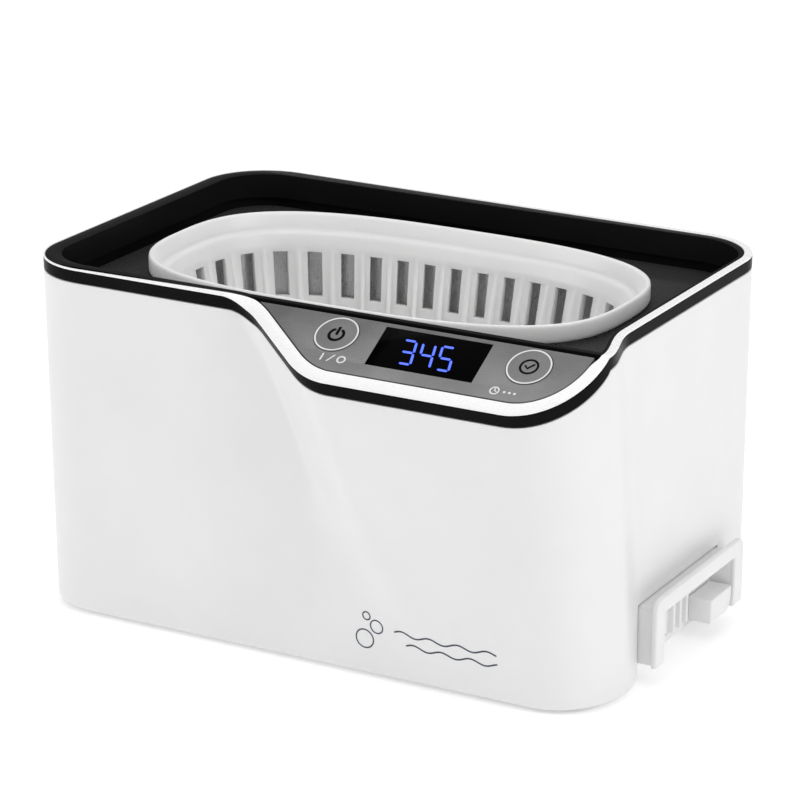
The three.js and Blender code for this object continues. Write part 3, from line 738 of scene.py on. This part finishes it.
def basket_profile():
    """The shell as (inset, z) pairs, up its outside and down its inside.

    Also gives the first row of slots outside and inside, and how many rows of faces a slot spans.
    """
    flange, foot, top = DECK_Z + GAP, BASKET_FLOOR_Z, BASKET_RIM_Z
    low, high = SLOTS["low"], SLOTS["high"]
    out_low, out_high = (12, foot + 2.5), (6.1, flange - 3.6)
    in_low, in_high = (13.8, foot + 4), (7.7, flange - 3.6)
    heights = [low, low + 0.7, (low + high) / 2, high - 1, high]
    outer_slot = on_wall(heights, out_low, out_high)
    inner_slot = on_wall(heights[::-1], in_low, in_high)
    rib_end = on_wall([RIB_FOOT + 0.3, RIB_FOOT], in_low, in_high)
    rising = eased([(16.5, foot), out_low, outer_slot[0]], 1.5)
    rim = eased([
        outer_slot[-1], out_high, (4.4, flange - 1.4), (4.2, flange), (0.6, flange), (0.02, flange + 0.6),
        (0, top - 0.7), (0.3, top - 0.1), (1.1, top), (1.9, top - 0.6),
        (3.7, flange + 1.2), (5.9, flange + 0.2), in_high, inner_slot[0],
    ], 0.8)
    falling = eased([rib_end[-1], in_low, (18, foot + 1.8)], 1.5)
    profile = [*rising[:-1], *outer_slot, *rim[1:-1], *inner_slot, *rib_end, *falling[1:]]
    outer_row = len(rising) - 1
    inner_row = outer_row + len(outer_slot) + len(rim) - 2
    return profile, outer_row, inner_row, len(heights) - 1


def slotted_faces(levels, count, outer_row, inner_row, rows):
    """Faces of the basket's two walls with the slots' cells left open and their cheeks closed."""
    per = len(PITCH_STEPS)
    left_step, middle_step, right_step = SLOT_STEPS
    faces = side_faces(levels, count, False).tolist()
    slot_columns = [i for i in range(count) if i % per in (left_step, middle_step)]
    slot_rows = [first + k for first in (outer_row, inner_row) for k in range(rows)]
    open_cells = {(row, i) for row in slot_rows for i in slot_columns}
    faces = [face for n, face in enumerate(faces) if (n // count, n % count) not in open_cells]
    for k in range(rows):  # the cheeks of each slot
        out_a, out_b = (outer_row + k) * count, (outer_row + k + 1) * count
        in_a, in_b = (inner_row + rows - k) * count, (inner_row + rows - k - 1) * count
        for i in range(0, count, per):
            left, right = i + left_step, i + right_step
            faces.append([out_b + left, in_b + left, in_a + left, out_a + left])
            faces.append([out_a + right, in_a + right, in_b + right, out_b + right])
    for i in slot_columns:  # the sill and the head of each slot
        out_a, in_a = outer_row * count, (inner_row + rows) * count
        out_b, in_b = (outer_row + rows) * count, inner_row * count
        faces.append([out_a + i, out_a + i + 1, in_a + i + 1, in_a + i])
        faces.append([out_b + i + 1, out_b + i, in_b + i, in_b + i + 1])
    faces.append(list(range(count))[::-1])
    faces.append([(levels - 1) * count + i for i in range(count)])
    return faces


def basket():
    """The basket's shell with its slots left open and a low rib on the inside of each bar."""
    parts = [(i + 0.5 + step) / SLOTS["count"] % 1 for i in range(SLOTS["count"]) for step in PITCH_STEPS]
    angles = even_angles(BASKET_RIM[0] - 9, BASKET_RIM[1] - 9, parts, CLOSER)
    profile, outer_row, inner_row, rows = basket_profile()
    loops = []
    for inset, z in profile:
        loops.append(oval_loop(BASKET_RIM[0] - inset, BASKET_RIM[1] - inset, z, angles))
    for row in range(inner_row, inner_row + rows + 2):  # the ribs stand out more towards their feet
        fall = (SLOTS["high"] - profile[row][1]) / (SLOTS["high"] - RIB_FOOT)
        proud = RIB_PROUD * (0.2 + 0.8 * fall)
        loops[row][:, :2] *= 1 - (proud / np.linalg.norm(loops[row][:, :2], axis=1) * RIB_LEVEL)[:, None]
    faces = slotted_faces(len(loops), len(angles), outer_row, inner_row, rows)
    shell = mesh_of(np.concatenate(loops), faces)
    cuts = []
    for x in (-48, -32, -16, 0, 16, 32, 48):
        for y in (OVAL_Y - 12, OVAL_Y + 12):
            cuts.append(plate(round_slot(x, y, 2, 8), [], BASKET_FLOOR_Z - 2, BASKET_FLOOR_Z + 4, 0.05))
    return boolean(shell, cuts, "DIFFERENCE")


def round_slot(x, y, half_x, half_y):
    """A slot along Y with half-round ends."""
    angles = np.radians(np.arange(0, 181, 20))
    top = np.column_stack([x + half_x * np.cos(angles), y + half_y - half_x + half_x * np.sin(angles)])
    bottom = np.column_stack([x - half_x * np.cos(angles), y - half_y + half_x - half_x * np.sin(angles)])
    return np.concatenate([top, bottom])


# ------------------------------------------------------------------ control panel


def circle(x, y, radius, steps=96):
    angles = np.arange(steps) * 2 * math.pi / steps
    return np.column_stack([x + radius * np.cos(angles), y + radius * np.sin(angles)])


def rectangle(x, y, half_x, half_y):
    signs = ((-1, -1), (1, -1), (1, 1), (-1, 1))
    return np.array([(x + across * half_x, y + up * half_y) for across, up in signs])


SEAM = 0.12  # visible joint round the buttons and the window


def panel_plate():
    slant = math.cos(PANEL_TILT)
    edge = clip(rim_loop(0, TRIM_PANEL_W + GAP), PANEL_TOP_Y - PANEL_TOP_GAP * slant, -1)
    outer = np.column_stack([edge[:, 0], (edge[:, 1] - PANEL_TOP_Y) / slant])
    window = rectangle(WINDOW["x"], WINDOW["y"], WINDOW["width"] / 2 + SEAM, WINDOW["height"] / 2 + SEAM)
    holes = [circle(x, y, BUTTON_R + SEAM) for x, y in BUTTONS.values()]
    return plate(outer, [window, *holes], -PANEL_T, 0, 0.15)


def window_glass():
    outline_of = rectangle(WINDOW["x"], WINDOW["y"], WINDOW["width"] / 2, WINDOW["height"] / 2)
    return plate(outline_of, [], -PANEL_T + GAP, -0.02, 0.1)


AXIS_R = 0.01  # a turned profile starts and ends this near its axis
STEM_R = 1.6
STEM_FOOT = -5.7


def button_cap(x, y):
    foot = -PANEL_T - 0.2
    cap = eased([(AXIS_R, foot), (BUTTON_R, foot), (BUTTON_R, BUTTON_PROUD), (AXIS_R, BUTTON_PROUD)], 0.2)
    stem = [(AXIS_R, STEM_FOOT), (STEM_R, STEM_FOOT), (STEM_R, -PANEL_T), (AXIS_R, -PANEL_T)]
    mesh = boolean(turned(cap), [turned(stem, 24)], "UNION")
    mesh.transform(Matrix.Translation((x, y, 0)))
    return mesh


def stroke(points, width, closed=False):
    """A flat line of even width along plan points, with round ends."""
    points = np.asarray(points, float)
    if closed:
        chord = np.roll(points, -1, 0) - np.roll(points, 1, 0)
    else:
        chord = np.gradient(points, axis=0)
    along = chord / np.linalg.norm(chord, axis=1)[:, None]
    side = np.column_stack([-along[:, 1], along[:, 0]]) * width / 2
    if closed:
        return [points + side, points - side]
    caps = []
    for end, sense in ((-1, 1), (0, -1)):
        turn = np.radians(np.arange(15, 180, 15))
        start = -side[end] * sense
        ahead = along[end] * sense * width / 2
        caps.append([points[end] + start * math.cos(a) + ahead * math.sin(a) for a in turn])
    return [np.concatenate([points - side, caps[0], (points + side)[::-1], caps[1]])]


def arc_points(x, y, radius, first, last, step=6):
    angles = np.radians(np.linspace(first, last, max(3, int(abs(last - first) / step))))
    return np.column_stack([x + radius * np.cos(angles), y + radius * np.sin(angles)])


def joined(meshes):
    """One mesh of several that don't touch."""
    work = bmesh.new()
    for mesh in meshes:
        work.from_mesh(mesh)
    out = bpy.data.meshes.new("draft")
    work.to_mesh(out)
    work.free()
    return out


def print_group(name, shapes, slot, colour, body="casing", base=0.0, place=PANEL_FRAME):
    meshes = [plate(loops[0], loops[1:], base + 0.005, base + 0.005 + PRINT_T, 0.01) for loops in shapes]
    return piece(name, joined(meshes), slot, body=body, place=place, finish_as=colour)


def ring_shape(x, y, radius, width):
    return [circle(x, y, radius), circle(x, y, radius - width)]


RING_W = 0.52
# Seven segments in the order top, upper left, upper right, middle, lower left, lower right, bottom.
DIGITS = {"3": "1011011", "4": "0111010", "5": "1101011"}
DIGIT = {"width": 4.1, "height": 9.4, "pitch": 6.45, "left": 43.4, "middle": -11.8}
DIGIT_LEAN = -0.22
DIGIT_STROKE = 0.8
DIGIT_TIP = 0.25  # from the corner of a digit to the point of a bar


def segment_bars(digit, left):
    """The lit bars of one digit as flat six-sided strips."""
    width, height = DIGIT["width"], DIGIT["height"]
    x = (left, left + width)
    y = (height / 2, 0, -height / 2)
    ends = [
        ((x[0], y[0]), (x[1], y[0])), ((x[0], y[1]), (x[0], y[0])), ((x[1], y[1]), (x[1], y[0])),
        ((x[0], y[1]), (x[1], y[1])), ((x[0], y[2]), (x[0], y[1])), ((x[1], y[2]), (x[1], y[1])),
        ((x[0], y[2]), (x[1], y[2])),
    ]
    bars = []
    for lit, (start, end) in zip(DIGITS[digit], ends):
        if lit == "0":
            continue
        start, end = np.array(start), np.array(end)
        along = (end - start) / np.linalg.norm(end - start)
        side = np.array([-along[1], along[0]]) * DIGIT_STROKE / 2
        tip, shoulder = along * DIGIT_TIP, along * (DIGIT_TIP + DIGIT_STROKE / 2)
        bar = [
            start + tip, start + shoulder - side, end - shoulder - side,
            end - tip, end - shoulder + side, start + shoulder + side,
        ]
        bars.append([np.array([(px + DIGIT_LEAN * py, py + DIGIT["middle"]) for px, py in bar])])
    return bars


def digits():
    shapes = []
    for i, digit in enumerate("345"):
        shapes += segment_bars(digit, DIGIT["left"] + i * DIGIT["pitch"])
    print_group("display_digits", shapes, "display_dark", SEGMENT_BLUE, base=-0.02)


def panel_prints():
    power_x, power_y = BUTTONS["power_button"]
    time_x, time_y = BUTTONS["time_button"]
    top = BUTTON_PROUD
    for name, (x, y) in BUTTONS.items():
        ring = ring_shape(x, y, BUTTON_R - 0.06, RING_W)
        print_group(f"{name}_ring", [ring], "panel_grey", PRINT_WHITE, name, top)
    power = [
        stroke(arc_points(power_x, power_y - 0.2, 2.35, 125, 415), 0.95),
        stroke([(power_x, power_y + 0.1), (power_x, power_y + 1.4), (power_x, power_y + 2.7)], 0.95),
    ]
    print_group("power_symbol", power, "panel_grey", PRINT_BLACK, "power_button", top)
    tick = [(time_x - 1.15, time_y + 0.05), (time_x - 0.3, time_y - 0.85), (time_x + 1.3, time_y + 1.05)]
    clock_tick = [ring_shape(time_x, time_y, 3.1, 0.7), stroke(tick, 0.7)]
    print_group("tick_symbol", clock_tick, "panel_grey", PRINT_BLACK, "time_button", top)
    below = 9.7  # the pictograms stand this far below the middle of a button
    x, y = power_x + 3.2, power_y - below
    on_off = [
        stroke([(x - 3.6, y - 1.2), (x - 3.6, y), (x - 3.6, y + 1.2)], 0.55),
        stroke([(x - 1.3, y - 1.3), (x - 0.5, y), (x + 0.3, y + 1.3)], 0.45),
        ring_shape(x + 3.1, y, 1.5, 0.55),
    ]
    print_group("on_off_pictogram", on_off, "panel_grey", PRINT_WHITE)
    x, y = time_x - 6.4, time_y - below - 1.6
    dial = [ring_shape(x, y, 1.6, 0.45), stroke([(x, y + 0.9), (x, y), (x + 0.7, y - 0.3)], 0.38)]
    for i in range(3):
        dial.append([circle(x + 3.2 + 1.7 * i, y, 0.45, 24)])
    print_group("dial_pictogram", dial, "panel_grey", PRINT_WHITE)


# ------------------------------------------------------------------ front mark


def front_face():
    """A function that gives Y of the casing's front face at a place seen from the front, near the mark."""
    heights = np.arange(6, 28)
    ahead = (KIND == 1) | (KIND == 2)
    levels = [casing_loop(np.full(COUNT, float(z)))[ahead] for z in heights]

    def depth_at(x, z):
        return np.interp(z, heights, [np.interp(x, level[:, 0], level[:, 1]) for level in levels])

    return depth_at


def front_mark():
    """A generic mark: rising bubbles and two level water lines."""
    bubbles = [(26.5, 12.2, 3.4), (31.2, 17.3, 2.5), (27.6, 20.4, 1.6)]
    shapes = [ring_shape(x, z, radius, 0.45) for x, z, radius in bubbles]
    for level, start in ((17.2, 38), (13.2, 42)):
        x = np.linspace(start, 74, 60)
        wave = np.column_stack([x, level + 0.7 * np.sin((x - start) * 0.62)])
        shapes.append(stroke(wave, 0.55))
    mesh = joined([plate(loops[0], loops[1:], 0, PRINT_T, 0.01) for loops in shapes])
    depth_at = front_face()
    for vertex in mesh.vertices:
        x, z, out = vertex.co
        vertex.co = (x, depth_at(x, z) - 0.01 - out, z)
    mesh.flip_normals()
    piece("front_mark", mesh, "white_casing", finish_as=PRINT_SLATE)


# ------------------------------------------------------------------ hook, inlet, feet


def arch(low, high, foot, top, open_low, open_high, open_top, corner):
    """An inverted U in the (Y, Z) plane with rounded outer corners."""
    turn = np.radians(np.arange(0, 91, 10))
    right = [(high - corner + corner * math.cos(a), top - corner + corner * math.sin(a)) for a in turn]
    left = [(low + corner - corner * math.sin(a), top - corner + corner * math.cos(a)) for a in turn]
    inner = [
        (low, foot), (open_low, foot), (open_low, open_top),
        (open_high, open_top), (open_high, foot), (high, foot),
    ]
    return np.array([*inner, *right, *left])


def cord_hook():
    half, wall, foot, top, back = (HOOK[name] for name in ("half", "wall", "foot", "top", "back"))
    inner = half - wall
    middle, rise = (foot + top) / 2, (top - foot) / 2
    neck = plate(arch(-half, half, foot, top, -inner, inner, top - wall, 2), [], back, HOOK["neck"], 0.15)
    opening = (FLANGE["open_low"], FLANGE["open_high"], FLANGE["open_top"])
    flange_shape = arch(FLANGE["low"], FLANGE["high"], foot, FLANGE["top"], *opening, 4)
    flange = plate(flange_shape, [], HOOK["neck"] - 0.3, HOOK["face"], 0.7)
    back_wall = plate(rectangle(0, middle, inner + 0.5, rise - 0.5), [], back + 0.01, back + 3, 0.1)
    rib_half = 0.8
    ribs = []
    for y in (-4, 1, 6):
        rib = rectangle(y + rib_half, middle, rib_half, rise - 0.8)
        ribs.append(plate(rib, [], back + 2, back + 5, 0.3))
    mesh = boolean(neck, [flange, back_wall, *ribs], "UNION")
    mesh.transform(SIDE_FRAME)
    return mesh


def inlet_block():
    low, top, near, far, radius = (INLET[name] for name in ("low", "top", "near", "far", "corner"))
    middle = (far - radius, low + radius)
    corner = arc_points(*middle, radius, -90, 0)
    shape = np.array([(near, low), *corner, (far, top), (near, top)])
    back, face = HOOK["back"] + 3 + GAP, HOOK["face"] - 0.5
    block = plate(shape, [], back, face, 0.5)
    block.transform(SIDE_FRAME)
    bore = plate(circle((back + face) / 2, INLET["hole_y"], INLET_R, 48), [], 0, INLET["hole_top"], 0.05)
    return boolean(block, [bore], "DIFFERENCE")


def foot_pad():
    """A rubber foot with two round grooves in its sole."""
    sole, groove, top = -FOOT_DROP, -FOOT_DROP + 0.4, BASE_Z - GAP
    profile = eased([
        (AXIS_R, sole), (2.2, sole), (2.4, groove), (3.0, groove), (3.2, sole),
        (4.4, sole), (4.6, groove), (5.2, groove), (5.4, sole),
        (FOOT_R - 0.5, sole), (FOOT_R, top - 0.4), (FOOT_R - 0.3, top), (AXIS_R, top),
    ], 0.15)
    return turned(profile)


# ------------------------------------------------------------------ assembly

piece("casing_shell", casing_shell(), "white_casing", ["body_shell"])
piece("casing_band", accent_band(), "black_gloss", ["accent_band"])
piece("casing_trim", rim_trim(), "white_trim", ["rim_trim"])
piece("tray_frame", top_frame(), "black_gloss", ["top_frame"])
piece("tray_deck", deck_plate(), "deck_black", ["deck_plate"])
piece("tank_pressing", tank(), "stainless", ["tank"], sharp=50)
piece("basket_moulding", basket(), "basket_white", ["basket"], body="basket", sharp=38)

piece("panel_plate", panel_plate(), "panel_grey", ["control_panel"], place=PANEL_FRAME)
piece("window_glass", window_glass(), "display_dark", ["display_window"], place=PANEL_FRAME)
for button, centre in BUTTONS.items():
    piece(f"{button}_cap", button_cap(*centre), "panel_grey", [button], body=button, place=PANEL_FRAME)
digits()
panel_prints()
front_mark()

piece("hook_moulding", cord_hook(), "white_casing", ["cord_hook"])
piece("inlet_moulding", inlet_block(), "white_casing", ["inlet_block"])
for corner in ("front_left", "front_right", "rear_left", "rear_right"):
    low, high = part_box(f"foot_{corner}")
    middle = ((low + high) / 2 - ORIGIN) / MM
    piece(
        f"rubber_{corner}", foot_pad(), "rubber_black", [f"foot_{corner}"],
        place=Matrix.Translation((middle.x, middle.y, 0)),
    )

CAD_FINISHES = {
    "white_casing": ["base_plate"],
    "silicone": ["tank_seal"],
    "black_component": [
        "display_module", "power_plunger", "power_switch", "time_plunger", "time_switch", "transformer",
    ],
    "circuit_board": ["control_board", "driver_board"],
    "screw_steel": [
        "panel_screw_1", "panel_screw_2", "base_screw_1", "base_screw_2", "base_screw_3", "base_screw_4",
        "board_screw_1", "board_screw_2", "board_screw_3", "board_screw_4", "transducer_bolt",
    ],
    "cast_aluminium": ["transducer_front_mass", "heat_sink"],
    "ceramic": ["piezo_ring_upper", "piezo_ring_lower"],
    "stainless": ["transducer_back_mass"],
    "copper_wire": ["choke"],
    "film_red": ["film_capacitor"],
    "sleeve_blue": ["bulk_capacitor"],
}
for slot_name, nodes in CAD_FINISHES.items():
    for node in nodes:
        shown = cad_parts[node]
        shown.data.materials.clear()
        shown.data.materials.append(FINISHES[slot_name])

# ------------------------------------------------------------------ studio


FLOOR_REACH = 6  # metres


def add_floor():
    mesh = bpy.data.meshes.new("floor")
    corners = [(x, y, 0) for x, y in rectangle(0, 0, FLOOR_REACH, FLOOR_REACH)]
    mesh.from_pydata(corners, [], [(0, 1, 2, 3)])
    paint = finish(
        "floor paint", grey(0.93), grey(0.95), (0.8, 0.9), specular=0.1, cloud=0.002, grain=0.2,
        bump=0.0, glow=0.29,
    )
    mesh.materials.append(paint)
    floor = bpy.data.objects.new("floor", mesh)
    bpy.context.scene.collection.objects.link(floor)


def add_world():
    world = bpy.data.worlds.new("studio")
    world.use_nodes = True
    world.node_tree.nodes["Background"].inputs["Color"].default_value = (1, 1, 1, 1)
    world.node_tree.nodes["Background"].inputs["Strength"].default_value = 0.305
    bpy.context.scene.world = world


add_floor()
add_world()
add_softbox("overhead", (0, 0, 1.3), (0, 0, 0), (1.6, 1.6), 8.3)
add_softbox("front_left", (-1.15, -1.0, 0.7), (0, 0, 0.05), (0.7, 0.7), 6.8)
add_softbox("right_fill", (1.5, -0.3, 0.9), (0, 0, 0.05), (1.0, 1.0), 10.2)
add_softbox("rear_floor", (-0.6, 1.3, 1.3), (-0.55, 1.2, 0), (1.4, 1.4), 8)
